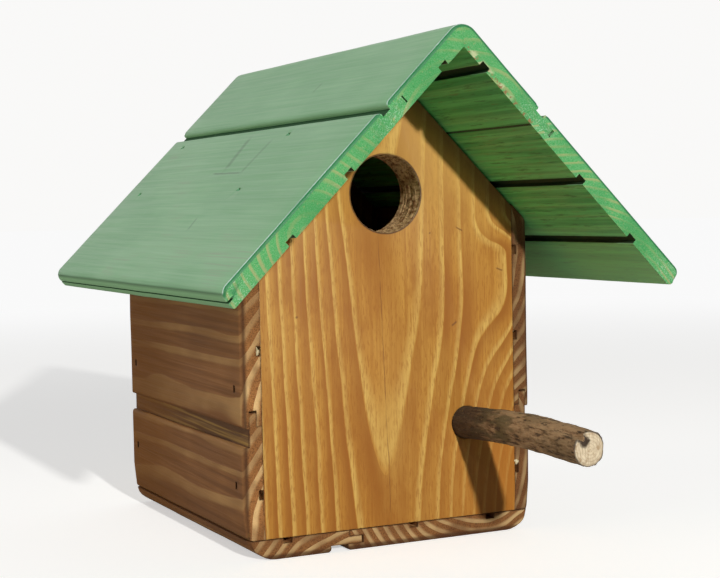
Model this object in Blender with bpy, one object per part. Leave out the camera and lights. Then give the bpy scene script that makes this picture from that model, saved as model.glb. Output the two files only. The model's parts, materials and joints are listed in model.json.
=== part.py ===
"""Nest box with a gabled roof, built from tongue and groove boards.

Metres, +Z up. The origin is the middle of the underside of the base; the front,
with the entrance hole and the perch, looks towards -Y.
"""

from math import cos, pi, radians, sin, sqrt

import bmesh
import bpy
from mathutils import Matrix, Vector

# ---- driving dimensions, in metres ------------------------------------------
GAP = 0.0003                  # air between two pieces that touch

BOARD = 0.008                 # thickness of the tongue and groove boards
PANEL = 0.018                 # thickness of the solid front and back panels
BODY_WIDTH = 0.132            # over the outside faces of the walls
BODY_DEPTH = 0.145            # over the outside faces of the two panels
RIDGE_HEIGHT = 0.1975         # inside ridge line of the roof above the ground
PANEL_CLEARANCE = 0.001       # gap between a panel's gable and the roof, square to the slope

FRONT_OVERHANG = 0.063        # roof past the front panel
BACK_OVERHANG = 0.011
ROOF_JOINT = 0.0382           # lower lip of the upper roof boards, down the slope
RIDGE_ROUND = 0.006           # sanded round-over along the ridge

WALL_JOINT = 0.053            # groove lip of the upper wall boards above the ground
BASE_JOINT = -0.0215          # groove lip of the right base board, across the width
BASE_ROUND_WIDE = 0.012       # round-over along the outer bottom edges of the base
CORNER_ROUND = 0.003          # upright outer corners of the body
CORNER_PROUD = 0.00003        # keeps the round-over's cutter off the faces that it blends into

HOLE_DIAMETER = 0.032
HOLE_CENTRE = (-0.0015, 0.1443)        # across the width, above the ground
HOLE_SIDES = 48
PERCH_DIAMETER = 0.0134
PERCH_CENTRE = (0.0345, 0.0479)
PERCH_REACH = 0.091           # how far the stick stands out of the front panel
PERCH_RISE = 0.002            # height of the stick's slight arch
PERCH_ARCH = 162              # degrees of a sine wave from the panel to the stick's end
PERCH_STATIONS = 13
SOCKET_SIDES = 32

BRAD_LENGTH = 0.025
BRAD_SUNK = 0.001             # head below the surface of the wood
BRAD_SHANK = (0.0012, 0.0010)
BRAD_HEAD = (0.0024, 0.0012)
BRAD_HEAD_THICK = 0.0010
BRAD_POINT = 0.003            # length of the chisel point
BRAD_POINT_LEFT = 0.25        # part of the shank's thickness left at the tip
WALL_BRADS = {"lower": 0.0293, "upper": 0.0680}                # above the ground
ROOF_BRADS = {"left": {"high": 0.0486, "low": 0.0795},         # down the slope
              "right": {"high": 0.0540, "low": 0.0795}}
BASE_BRADS = {"left": -0.041, "middle": 0.0, "right": 0.041}   # across the width

# Milled profile, seen on the end grain. "shadow" is the width of the recess left
# between two fair faces; "back_lip" is how far the groove's rear lip runs past its
# front lip; "reliefs" are the rear relief grooves, measured from the front lip.
ROOF_STOCK = {"shadow": 0.0044, "back_lip": 0.0020, "tongue_relief": 0.0283, "groove_relief": 0.0268}
WALL_STOCK = {"shadow": 0.0078, "back_lip": -0.0008, "tongue_relief": 0.0266, "groove_relief": 0.0303}
ROOF_RELIEF_PITCH = 0.033
WALL_RELIEF_PITCH = 0.0365
TONGUE_BACK = 0.0025          # rear and front faces of the tongue, from the board's back
TONGUE_FRONT = 0.0053
TONGUE_REACH = 0.0060         # how far the tongue runs into the groove
SLOT_BACK = 0.0022
SLOT_FRONT = 0.0056
SLOT_DEPTH = 0.0070
RELIEF_WIDTH = 0.0040
RELIEF_DEPTH = 0.0020
RELIEF_STEP = 0.0001          # each relief groove is this much deeper than the one before
ARRIS = 0.0016                # eased long edges of the fair face
BASE_FLAT = 0.0005            # square edge left above the base's round-over
ARRIS_STEPS = 3
RIDGE_STEPS = 5
ROUND_STEPS = 6

# Planed eave edges: distance from the inside ridge line down the slope, round-overs at
# the back and at the fair face, and the slot (back, front, depth) left of a groove.
EAVES = {
    "left": {"edge": 0.1315, "back_round": 0.0006, "face_round": 0.0041,
             "slot": (0.0029, 0.0037, 0.0025)},
    "right": {"edge": 0.1308, "back_round": 0.0020, "face_round": 0.0032, "slot": None},
}

SLOPE = sqrt(0.5)             # both the sine and the cosine of the 45 degree pitch
WALL_OUT = BODY_WIDTH / 2
WALL_IN = WALL_OUT - BOARD
FRONT_Y = -BODY_DEPTH / 2
FLOOR_TOP = BOARD + GAP       # where walls and panels stand
SIDES = {"left": -1, "right": 1}
ENDS = {"front": -1, "back": 1}

MERGE_DISTANCE = 0.000001
FLAT_ANGLE = radians(0.1)     # faces that turn less than this are one face
SMOOTH_ANGLE = radians(50)
CUT_OVER = 0.001              # how far a cutter runs past the piece it cuts

# base colour, metallic, roughness
FINISHES = {
    "roof_stain": ((0.24, 0.40, 0.26), 0.0, 0.55),
    "wall_stain": ((0.15, 0.08, 0.04), 0.0, 0.60),
    "panel_oil": ((0.48, 0.22, 0.06), 0.0, 0.50),
    "bark": ((0.20, 0.15, 0.10), 0.0, 0.90),
    "steel": ((0.35, 0.34, 0.32), 1.0, 0.45),
}


# ---- scene helpers -----------------------------------------------------------
def clear_scene():
    for old in list(bpy.data.objects):
        bpy.data.objects.remove(old, do_unlink=True)


def new_collection(name):
    group = bpy.data.collections.new(name)
    bpy.context.scene.collection.children.link(group)
    return group


def new_empty(group, name):
    empty = bpy.data.objects.new(name, None)
    group.objects.link(empty)
    return empty


def add_finish(piece, finish):
    """Give a piece its own Principled material."""
    colour, metallic, roughness = FINISHES[finish]
    material = bpy.data.materials.new(f"{piece.name}_{finish}")
    material.use_nodes = True
    shader = material.node_tree.nodes["Principled BSDF"]
    shader.inputs["Base Color"].default_value = (*colour, 1.0)
    shader.inputs["Metallic"].default_value = metallic
    shader.inputs["Roughness"].default_value = roughness
    piece.data.materials.append(material)


def frame_matrix(across, face, origin):
    """Local X runs across the board, local Y out of its fair face."""
    across = Vector(across)
    face = Vector(face)
    turn = Matrix((across, face, across.cross(face))).transposed()
    return Matrix.Translation(origin) @ turn.to_4x4()


def extruded(group, name, outline, length, matrix):
    """Solid of a flat outline, drawn in local XY and extruded along local Z."""
    drawing = bpy.data.curves.new(name, "CURVE")
    drawing.dimensions = "2D"
    drawing.fill_mode = "BOTH"
    drawing.extrude = length / 2
    spline = drawing.splines.new("POLY")
    spline.points.add(len(outline) - 1)
    for point, (x, y) in zip(spline.points, outline):
        point.co = (x, y, 0.0, 1.0)
    spline.use_cyclic_u = True
    drawn = bpy.data.objects.new(f"{name}_outline", drawing)
    group.objects.link(drawn)
    drawn.matrix_world = matrix
    return solid_from_curve(group, name, drawn)


def solid_from_curve(group, name, drawn):
    """Closed mesh object in place of a curve object."""
    bpy.context.view_layer.update()
    seen = drawn.evaluated_get(bpy.context.evaluated_depsgraph_get())
    mesh = bpy.data.meshes.new_from_object(seen)
    mesh.name = name
    shape = bmesh.new()
    shape.from_mesh(mesh)
    bmesh.ops.remove_doubles(shape, verts=shape.verts, dist=MERGE_DISTANCE)
    bmesh.ops.dissolve_limit(shape, angle_limit=FLAT_ANGLE, verts=shape.verts, edges=shape.edges)
    bmesh.ops.recalc_face_normals(shape, faces=shape.faces)
    shape.to_mesh(mesh)
    shape.free()
    solid = bpy.data.objects.new(name, mesh)
    solid.matrix_world = drawn.matrix_world.copy()
    group.objects.link(solid)
    bpy.data.objects.remove(drawn, do_unlink=True)
    return solid


def cylinder(group, name, diameter, length, centre, segments):
    """Round bar along Y, centred on a point."""
    shape = bmesh.new()
    bmesh.ops.create_cone(shape, cap_ends=True, segments=segments, radius1=diameter / 2,
                          radius2=diameter / 2, depth=length)
    mesh = bpy.data.meshes.new(name)
    shape.to_mesh(mesh)
    shape.free()
    bar = bpy.data.objects.new(name, mesh)
    bar.location = centre
    bar.rotation_euler = (pi / 2, 0.0, 0.0)
    group.objects.link(bar)
    return bar


def cut(piece, cutter):
    cutter.hide_render = True
    cutter.display_type = "WIRE"
    modifier = piece.modifiers.new(f"cut_{cutter.name}", "BOOLEAN")
    modifier.operation = "DIFFERENCE"
    modifier.solver = "EXACT"
    modifier.object = cutter


# ---- board profiles ------------------------------------------------------------
# An edge is a list of (across, thickness) points from the back to the fair face,
# drawn for the high side of a board. low_side() turns it round for the other side.
def arc(centre, radius, start, end, steps):
    """Points on an arc, angles in degrees, both ends included."""
    turns = [radians(start + (end - start) * step / steps) for step in range(steps + 1)]
    return [(centre[0] + radius * cos(turn), centre[1] + radius * sin(turn)) for turn in turns]


def face_arris(edge, radius=ARRIS):
    return arc((edge - radius, BOARD - radius), radius, 0, 90, ARRIS_STEPS)


def groove_edge(lip, stock):
    back = lip + stock["back_lip"]
    return [(back, 0.0), (back, SLOT_BACK), (lip - SLOT_DEPTH, SLOT_BACK),
            (lip - SLOT_DEPTH, SLOT_FRONT), (lip, SLOT_FRONT)] + face_arris(lip)


def tongue_edge(shoulder, stock):
    back = shoulder + stock["shadow"] - stock["back_lip"] - GAP
    tip = shoulder + stock["shadow"] + TONGUE_REACH
    return [(back, 0.0), (back, TONGUE_BACK), (tip, TONGUE_BACK),
            (tip, TONGUE_FRONT), (shoulder, TONGUE_FRONT)] + face_arris(shoulder)


def sawn_edge(edge):
    return [(edge, 0.0)] + face_arris(edge)


def eave_edge(eave):
    """Planed eave edge; the slot is what the plane left of the groove."""
    edge = eave["edge"]
    back = eave["back_round"]
    face = eave["face_round"]
    points = arc((edge - back, back), back, -90, 0, ARRIS_STEPS)
    if eave["slot"]:
        slot_back, slot_front, slot_depth = eave["slot"]
        points += [(edge, slot_back), (edge - slot_depth, slot_back),
                   (edge - slot_depth, slot_front), (edge, slot_front)]
    return points + arc((edge - face, BOARD - face), face, 0, 90, ROUND_STEPS)


def ridge_edge():
    """Mitre at the ridge with the round-over that both slopes share."""
    inside = -GAP / 2 / SLOPE
    outside = inside + BOARD
    centre = (outside - RIDGE_ROUND, BOARD - RIDGE_ROUND)
    return [(inside, 0.0)] + arc(centre, RIDGE_ROUND, 45, 90, RIDGE_STEPS)


def wall_top_edge():
    """Top of a wall, bevelled to the slope, with its outer arris taken off."""
    inside = RIDGE_HEIGHT - WALL_IN - GAP / SLOPE
    outside = inside - BOARD
    ease = ARRIS / 2
    return [(inside, 0.0), (outside + ease, BOARD - ease), (outside - ease, BOARD)]


def base_outer_edge(edge):
    """Outer edge of the base, rounded over underneath by a quarter of an ellipse."""
    turns = [pi / 2 * step / ROUND_STEPS for step in range(ROUND_STEPS + 1)]
    rise = BOARD - BASE_FLAT
    run = [(edge - BASE_ROUND_WIDE * (1 - cos(turn)), BASE_FLAT + rise * sin(turn)) for turn in turns]
    return [(edge, 0.0)] + run


def low_side(edge):
    return [(-across, thick) for across, thick in reversed(edge)]


def outline(low_edge, high_edge, reliefs):
    """Whole section: the back with its relief grooves, the high edge, the low edge."""
    start = low_edge[-1][0]
    end = high_edge[0][0]
    back = []
    half = RELIEF_WIDTH / 2
    for turn, middle in enumerate(sorted(reliefs)):
        depth = RELIEF_DEPTH + turn * RELIEF_STEP
        if start < middle - half and middle + half < end:
            back += [(middle - half, 0.0), (middle - half, depth),
                     (middle + half, depth), (middle + half, 0.0)]
    return low_edge + back + high_edge


# ---- the pieces ------------------------------------------------------------------
def roof_boards(group, word):
    """Upper and lower board of one slope, left or right.

    Across runs up the slope from the eave, 0 at the inside ridge line. On the left
    the groove points down the slope, on the right it points up.
    """
    side = SIDES[word]
    length = FRONT_OVERHANG + BODY_DEPTH + BACK_OVERHANG
    middle = (BACK_OVERHANG - FRONT_OVERHANG) / 2
    place = frame_matrix((-side * SLOPE, 0, SLOPE), (side * SLOPE, 0, SLOPE), (0, middle, RIDGE_HEIGHT))
    upper_lip = -ROOF_JOINT
    lower_lip = -ROOF_JOINT - ROOF_STOCK["shadow"]
    if word == "left":
        upper_low = groove_edge(-upper_lip, ROOF_STOCK)
        lower_high = tongue_edge(lower_lip, ROOF_STOCK)
        first = upper_lip - ROOF_STOCK["tongue_relief"]
    else:
        upper_low = tongue_edge(-upper_lip, ROOF_STOCK)
        lower_high = groove_edge(lower_lip, ROOF_STOCK)
        first = lower_lip - ROOF_STOCK["tongue_relief"]
    upper_outline = outline(low_side(upper_low), ridge_edge(), [upper_lip + ROOF_STOCK["groove_relief"]])
    lower_outline = outline(low_side(eave_edge(EAVES[word])), lower_high,
                            [first, first - ROOF_RELIEF_PITCH])
    upper = extruded(group, f"roof_{word}_upper_board", upper_outline, length, place)
    lower = extruded(group, f"roof_{word}_lower_board", lower_outline, length, place)
    return upper, lower


def joint_outlines(joint, low_edge, high_edge):
    """Tongued board below a joint and grooved board above it, from the wall and base stock."""
    tongue = tongue_edge(joint - WALL_STOCK["shadow"], WALL_STOCK)
    groove = low_side(groove_edge(-joint, WALL_STOCK))
    relief = joint + WALL_STOCK["groove_relief"]
    tongued = outline(low_side(low_edge), tongue, [joint - WALL_STOCK["tongue_relief"]])
    grooved = outline(groove, high_edge, [relief, relief + WALL_RELIEF_PITCH])
    return tongued, grooved


def wall_boards(group, word):
    """Lower board with its tongue up, upper board with its groove down."""
    side = SIDES[word]
    place = frame_matrix((0, 0, 1), (side, 0, 0), (side * WALL_IN, 0, 0))
    low_outline, high_outline = joint_outlines(WALL_JOINT, sawn_edge(-FLOOR_TOP), wall_top_edge())
    lower = extruded(group, f"wall_{word}_lower_board", low_outline, BODY_DEPTH, place)
    upper = extruded(group, f"wall_{word}_upper_board", high_outline, BODY_DEPTH, place)
    return lower, upper


def base_boards(group):
    """Fair face down; the left board's tongue runs into the right board's groove."""
    place = frame_matrix((1, 0, 0), (0, 0, -1), (0, 0, BOARD))
    outer = base_outer_edge(WALL_OUT)
    left_outline, right_outline = joint_outlines(BASE_JOINT, outer, outer)
    left = extruded(group, "base_left_board", left_outline, BODY_DEPTH, place)
    right = extruded(group, "base_right_board", right_outline, BODY_DEPTH, place)
    return left, right


def panel_middle(end):
    """Y of the middle of the front or back panel's thickness."""
    return ENDS[end] * (BODY_DEPTH - PANEL) / 2


def gable_panel(group, end):
    """Solid panel between the walls."""
    half = WALL_IN - GAP
    peak = RIDGE_HEIGHT - PANEL_CLEARANCE / SLOPE
    shape = [(-half, FLOOR_TOP), (half, FLOOR_TOP), (half, peak - half), (0.0, peak),
             (-half, peak - half)]
    place = frame_matrix((1, 0, 0), (0, 0, 1), (0, panel_middle(end), 0))
    return extruded(group, f"{end}_panel", shape, PANEL, place)


def perch(group):
    """Natural stick through the front panel, slightly arched outside it."""
    drawing = bpy.data.curves.new("perch", "CURVE")
    drawing.dimensions = "3D"
    drawing.bevel_depth = PERCH_DIAMETER / 2
    drawing.bevel_resolution = 4
    drawing.use_fill_caps = True
    path = [(FRONT_Y + PANEL - GAP, 0.0)]
    for station in range(PERCH_STATIONS):
        part = station / (PERCH_STATIONS - 1)
        path.append((FRONT_Y - PERCH_REACH * part, PERCH_RISE * sin(radians(PERCH_ARCH * part))))
    spline = drawing.splines.new("POLY")
    spline.points.add(len(path) - 1)
    for point, (y, rise) in zip(spline.points, path):
        point.co = (PERCH_CENTRE[0], y, PERCH_CENTRE[1] + rise, 1.0)
    drawn = bpy.data.objects.new("perch_path", drawing)
    group.objects.link(drawn)
    stick = solid_from_curve(group, "perch", drawn)
    stick.data.shade_smooth()
    stick.data.set_sharp_from_angle(angle=SMOOTH_ANGLE)
    return stick


# ---- fasteners ----------------------------------------------------------------------
def brad_mesh(name, ease, above):
    """Brad along -Z with its head's top at 0; ease widens it and above lifts it for a pilot hole."""
    head_x, head_y = (size + 2 * ease for size in BRAD_HEAD)
    shank_x, shank_y = (size + 2 * ease for size in BRAD_SHANK)
    head_low = -BRAD_HEAD_THICK - ease
    shape = bmesh.new()
    bmesh.ops.create_cube(shape, size=1.0)
    for corner in shape.verts:
        height = above if corner.co.z > 0 else head_low
        corner.co = (corner.co.x * head_x, corner.co.y * head_y, height)
    narrow = (shank_x / head_x, shank_y / head_y, 1.0)
    grow_down(shape, narrow, 0.0)
    grow_down(shape, (1.0, 1.0, 1.0), BRAD_LENGTH - BRAD_HEAD_THICK - BRAD_POINT)
    grow_down(shape, (1.0 if ease else BRAD_POINT_LEFT, 1.0, 1.0), BRAD_POINT)
    mesh = bpy.data.meshes.new(name)
    shape.to_mesh(mesh)
    shape.free()
    return mesh


def grow_down(shape, scale, drop):
    """Extrude the lowest face, scaled about its middle and moved down."""
    shape.normal_update()
    lowest = min(shape.faces, key=lambda face: face.calc_center_median().z)
    bottom = bmesh.ops.extrude_face_region(shape, geom=[lowest])
    bmesh.ops.delete(shape, geom=[lowest], context="FACES_ONLY")
    corners = [part for part in bottom["geom"] if isinstance(part, bmesh.types.BMVert)]
    bmesh.ops.scale(shape, verts=corners, vec=scale)
    bmesh.ops.translate(shape, verts=corners, vec=(0.0, 0.0, -drop))


def drive_brad(groups, meshes, name, entry, inward, along, targets):
    """Brad from a point on a surface, going inward, and its pilot hole in each target."""
    inward = Vector(inward).normalized()
    along = Vector(along).normalized()
    up = -inward
    turn = Matrix((along, up.cross(along), up)).transposed().to_4x4()
    place = Matrix.Translation(Vector(entry) + inward * BRAD_SUNK) @ turn
    parts, cutters = groups
    brad = bpy.data.objects.new(name, meshes[0])
    brad.matrix_world = place
    parts.objects.link(brad)
    hole = bpy.data.objects.new(f"{name}_hole", meshes[1])
    hole.matrix_world = place
    cutters.objects.link(hole)
    for target in targets:
        cut(target, hole)
    return brad


def wall_brads(groups, meshes, word, boards, panels):
    """Two brads at each upright corner, through the wall boards into the panel's edge."""
    side = SIDES[word]
    brads = []
    for end, panel in panels.items():
        for level, board in boards.items():
            entry = (side * WALL_OUT, panel_middle(end), WALL_BRADS[level])
            brads.append(drive_brad(groups, meshes, f"brad_wall_{word}_{end}_{level}", entry,
                                    (-side, 0, 0), (0, 0, 1), (board, panel)))
    return brads


def roof_brads(groups, meshes, word, board, panels):
    """Two brads per gable on each slope, square to the slope, into the panel's edge."""
    side = SIDES[word]
    brads = []
    for end, panel in panels.items():
        for level, down in ROOF_BRADS[word].items():
            entry = (side * (down + BOARD) * SLOPE, panel_middle(end), RIDGE_HEIGHT + (BOARD - down) * SLOPE)
            brads.append(drive_brad(groups, meshes, f"brad_roof_{word}_{end}_{level}", entry,
                                    (-side, 0, -1), (0, 1, 0), (board, panel)))
    return brads


def base_brads(groups, meshes, boards, panels):
    """Three brads per panel, up through the base."""
    brads = []
    for end, panel in panels.items():
        for word, board in boards.items():
            entry = (BASE_BRADS[word], panel_middle(end), 0.0)
            brads.append(drive_brad(groups, meshes, f"brad_base_{end}_{word}", entry,
                                    (0, 0, 1), (0, 1, 0), (board, panel)))
    return brads


# ---- cutters ---------------------------------------------------------------------------
def corner_cutter(group, word, end):
    """Waste outside one rounded upright corner of the body."""
    side = SIDES[word]
    out = ENDS[end]
    waste = [(CUT_OVER, CUT_OVER), (CUT_OVER, -CORNER_ROUND)]
    waste += arc((-CORNER_ROUND, -CORNER_ROUND), CORNER_ROUND + CORNER_PROUD, 0, 90, ROUND_STEPS)
    waste += [(-CORNER_ROUND, CUT_OVER)]
    place = Matrix.Translation((side * WALL_OUT, out * BODY_DEPTH / 2, RIDGE_HEIGHT / 2))
    cutter = extruded(group, f"corner_{word}_{end}", waste, RIDGE_HEIGHT + 2 * CUT_OVER, place)
    cutter.data.transform(Matrix.Diagonal((side, out, 1.0, 1.0)))
    if side * out < 0:
        cutter.data.flip_normals()
    return cutter


def round_corners(cutters, walls, base):
    for word in SIDES:
        for end in ENDS:
            waste = corner_cutter(cutters, word, end)
            for board in (*walls[word], base[word]):
                cut(board, waste)


def bore_front(cutters, panel):
    """Entrance hole and perch socket."""
    for name, diameter, (x, z), sides in (
            ("entrance_hole", HOLE_DIAMETER, HOLE_CENTRE, HOLE_SIDES),
            ("perch_hole", PERCH_DIAMETER + 2 * GAP, PERCH_CENTRE, SOCKET_SIDES)):
        cut(panel, cylinder(cutters, name, diameter, 2 * PANEL, (x, panel_middle("front"), z), sides))


def drive_brads(groups, walls, roofs, base, panels):
    meshes = (brad_mesh("brad", 0.0, 0.0), brad_mesh("brad_hole", GAP, 2 * BRAD_SUNK))
    brads = base_brads(groups, meshes, {**base, "middle": base["right"]}, panels)
    for word in SIDES:
        brads += wall_brads(groups, meshes, word, dict(zip(WALL_BRADS, walls[word])), panels)
        brads += roof_brads(groups, meshes, word, roofs[word][1], panels)
    return brads


def build():
    clear_scene()
    parts = new_collection("birdhouse")
    cutters = new_collection("cutters")
    house = new_empty(parts, "birdhouse_centre")

    base = dict(zip(SIDES, base_boards(parts)))
    walls = {word: wall_boards(parts, word) for word in SIDES}
    roofs = {word: roof_boards(parts, word) for word in SIDES}
    panels = {end: gable_panel(parts, end) for end in ENDS}
    stick = perch(parts)
    bore_front(cutters, panels["front"])
    round_corners(cutters, walls, base)
    brads = drive_brads((parts, cutters), walls, roofs, base, panels)

    finished = {
        "roof_stain": [*roofs["left"], *roofs["right"]],
        "wall_stain": [*walls["left"], *walls["right"], *base.values()],
        "panel_oil": panels.values(),
        "bark": [stick],
        "steel": brads[:1],   # the brads share one mesh, and so its material
    }
    for finish, pieces in finished.items():
        for piece in pieces:
            add_finish(piece, finish)
    for piece in parts.objects:
        if piece is not house:
            piece.parent = house


build()
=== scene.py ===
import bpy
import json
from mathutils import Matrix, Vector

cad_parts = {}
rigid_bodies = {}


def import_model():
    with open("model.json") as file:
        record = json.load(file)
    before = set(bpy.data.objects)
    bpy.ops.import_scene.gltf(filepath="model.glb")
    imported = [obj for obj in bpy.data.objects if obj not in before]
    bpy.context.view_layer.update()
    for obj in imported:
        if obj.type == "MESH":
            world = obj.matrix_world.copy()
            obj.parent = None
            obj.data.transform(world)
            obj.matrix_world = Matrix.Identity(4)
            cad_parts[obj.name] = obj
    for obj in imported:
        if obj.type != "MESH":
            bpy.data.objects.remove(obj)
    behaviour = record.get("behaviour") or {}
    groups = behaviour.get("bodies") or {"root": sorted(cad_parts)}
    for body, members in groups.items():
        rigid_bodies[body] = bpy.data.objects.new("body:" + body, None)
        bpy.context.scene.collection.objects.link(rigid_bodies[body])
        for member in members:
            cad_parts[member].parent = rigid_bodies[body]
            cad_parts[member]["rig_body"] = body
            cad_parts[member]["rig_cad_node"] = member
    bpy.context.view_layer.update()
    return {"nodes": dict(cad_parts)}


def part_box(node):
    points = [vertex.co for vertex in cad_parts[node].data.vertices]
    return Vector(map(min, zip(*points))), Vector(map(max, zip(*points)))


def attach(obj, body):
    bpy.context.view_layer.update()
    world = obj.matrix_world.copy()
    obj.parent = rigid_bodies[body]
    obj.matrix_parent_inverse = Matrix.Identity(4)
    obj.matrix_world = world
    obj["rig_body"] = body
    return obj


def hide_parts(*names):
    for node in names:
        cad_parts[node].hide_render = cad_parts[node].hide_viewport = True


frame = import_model()

import json
from math import atan2, cos, exp, pi, radians, sin, tau

import bpy
from mathutils import Vector, noise

nodes = frame["nodes"]


# small helpers

def deselectAll():
    if bpy.context.object and bpy.context.object.mode != "OBJECT":
        bpy.ops.object.mode_set(mode="OBJECT")
    bpy.ops.object.select_all(action="DESELECT")


def activate(piece):
    deselectAll()
    piece.select_set(True)
    bpy.context.view_layer.objects.active = piece


def selectParts(piece, mode, wanted):
    # picks faces or edges of a piece in edit mode by a test on the part and the mesh
    activate(piece)
    bpy.ops.object.mode_set(mode="EDIT")
    bpy.ops.mesh.select_mode(type=mode)
    bpy.ops.mesh.select_all(action="DESELECT")
    bpy.ops.object.mode_set(mode="OBJECT")
    mesh = piece.data
    parts = mesh.polygons if mode == "FACE" else mesh.edges
    for part in parts:
        part.select = wanted(part, mesh)
    bpy.ops.object.mode_set(mode="EDIT")


def backToObject():
    bpy.ops.object.mode_set(mode="OBJECT")


def edgeEnds(edge, mesh):
    return [mesh.vertices[index].co for index in edge.vertices]


def edgeRun(edge, mesh, axis):
    first, last = edgeEnds(edge, mesh)
    return abs(first[axis] - last[axis])


def settle(piece):
    # leaves the object at the origin, with its place in its mesh
    activate(piece)
    bpy.ops.object.transform_apply(location=True, rotation=True, scale=True)


def closeUp(piece):
    # the cuts can leave slivers, which are merged away
    activate(piece)
    bpy.ops.object.mode_set(mode="EDIT")
    bpy.ops.mesh.select_mode(type="VERT")
    bpy.ops.mesh.select_all(action="SELECT")
    bpy.ops.mesh.remove_doubles(threshold=0.000003)
    bpy.ops.mesh.dissolve_degenerate(threshold=0.000003)
    backToObject()


def finishPiece(piece, slotName, *replaced):
    closeUp(piece)
    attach(piece, "root")
    if replaced:
        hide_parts(*replaced)


def copyNode(nodeName, newName):
    # a merged copy of a CAD node, ready for mesh work
    activate(nodes[nodeName])
    bpy.ops.object.duplicate()
    piece = bpy.context.object
    piece.name = newName
    piece.data.name = newName
    bpy.ops.object.parent_clear(type="CLEAR_KEEP_TRANSFORM")
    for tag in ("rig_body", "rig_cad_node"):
        if tag in piece:
            del piece[tag]
    piece.data.materials.clear()
    activate(piece)
    bpy.ops.object.mode_set(mode="EDIT")
    bpy.ops.mesh.select_all(action="SELECT")
    bpy.ops.mesh.remove_doubles(threshold=0.00001)
    bpy.ops.mesh.dissolve_limited(angle_limit=radians(0.3))
    bpy.ops.mesh.normals_make_consistent(inside=False)
    backToObject()
    return piece


def easeArrises(piece, width, segments=2, angle=35, skip=None):
    # rounds every sharp edge except those that skip picks out by their middle
    activate(piece)
    bpy.ops.object.mode_set(mode="EDIT")
    bpy.ops.mesh.select_mode(type="EDGE")
    bpy.ops.mesh.select_all(action="DESELECT")
    bpy.ops.mesh.edges_select_sharp(sharpness=radians(angle))
    backToObject()
    mesh = piece.data
    for edge in mesh.edges:
        if edge.select and skip and skip(sum(edgeEnds(edge, mesh), Vector()) / 2):
            edge.select = False
    bpy.ops.object.mode_set(mode="EDIT")
    bpy.ops.mesh.bevel(offset=width, segments=segments, affect="EDGES", clamp_overlap=True)
    backToObject()


def sliceAt(piece, way, places):
    # cuts every face by planes across one direction
    activate(piece)
    bpy.ops.object.mode_set(mode="EDIT")
    for place in places:
        bpy.ops.mesh.select_all(action="SELECT")
        bpy.ops.mesh.bisect(plane_co=Vector(way) * place, plane_no=way)
    backToObject()


def sliceAlong(piece, way, low, high, step):
    # cuts at regular stations, so that the piece can be worked unevenly
    count = max(1, round((high - low) / step))
    sliceAt(piece, way, [low + (high - low) * turn / count for turn in range(1, count)])


def handWork(piece, amount, size, seed):
    # sanding by hand leaves nothing quite straight
    shift = Vector((seed * 3.1, seed * 1.7, seed * 5.3))
    for vertex in piece.data.vertices:
        vertex.co += noise.noise_vector(vertex.co / size + shift) * amount


def closeSeam(piece, inSeam, amount):
    # closes a seam by letting the faces that meet in it swell a little
    mesh = piece.data
    pushes = {}
    for face in mesh.polygons:
        if inSeam(face):
            for index in face.vertices:
                ways = pushes.setdefault(index, [])
                if all((way - face.normal).length > 0.1 for way in ways):
                    ways.append(face.normal.copy())
    for index, ways in pushes.items():
        for way in ways:
            mesh.vertices[index].co += way * amount


def smoothBy(piece, degrees):
    activate(piece)
    bpy.ops.object.shade_smooth_by_angle(angle=radians(degrees))


# node helpers

def addNode(tree, kind, feeds=None, **settings):
    # a feed is a constant or the output socket that drives the input
    node = tree.nodes.new(kind)
    for name, value in settings.items():
        setattr(node, name, value)
    for key, value in (feeds or {}).items():
        if isinstance(value, bpy.types.NodeSocket):
            tree.links.new(value, node.inputs[key])
        else:
            node.inputs[key].default_value = value
    return node


def maths(tree, operation, first, second=0.0, third=0.0, clamp=False):
    node = addNode(tree, "ShaderNodeMath", {0: first, 1: second, 2: third}, operation=operation)
    node.use_clamp = clamp
    return node.outputs[0]


def times(tree, first, second):
    return maths(tree, "MULTIPLY", first, second)


def ramp(tree, value, low, high, fromLow=0.0, toHigh=1.0, kind="SMOOTHSTEP"):
    # value rising from low to high comes out between fromLow and toHigh
    feeds = {"Value": value, "From Min": low, "From Max": high, "To Min": fromLow, "To Max": toHigh}
    return addNode(tree, "ShaderNodeMapRange", feeds, interpolation_type=kind).outputs["Result"]


def blendColour(tree, factor, first, second, way="MIX"):
    node = addNode(tree, "ShaderNodeMix", data_type="RGBA", blend_type=way)
    for index, value in ((0, factor), (6, first), (7, second)):
        if isinstance(value, bpy.types.NodeSocket):
            tree.links.new(value, node.inputs[index])
        elif index == 0:
            node.inputs[index].default_value = value
        else:
            node.inputs[index].default_value = (*value, 1.0)
    return node.outputs[2]


def vectorMaths(tree, operation, first, second=(0, 0, 0)):
    # a length or a dot product comes out as a value, anything else as a vector
    node = addNode(tree, "ShaderNodeVectorMath", {0: first, 1: second}, operation=operation)
    return node.outputs["Value" if operation in ("LENGTH", "DOT_PRODUCT") else "Vector"]


def axes(tree, vector):
    return addNode(tree, "ShaderNodeSeparateXYZ", {"Vector": vector}).outputs


def stretch(tree, vector, amounts):
    return vectorMaths(tree, "MULTIPLY", vector, amounts)


def grain(tree, vector, amounts, detail=3.0, roughness=0.5):
    # noise with its own fineness, in waves to the metre, along each axis
    feeds = {"Vector": stretch(tree, vector, amounts), "Scale": 1.0, "Detail": detail, "Roughness": roughness}
    return addNode(tree, "ShaderNodeTexNoise", feeds).outputs["Fac"]


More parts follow.
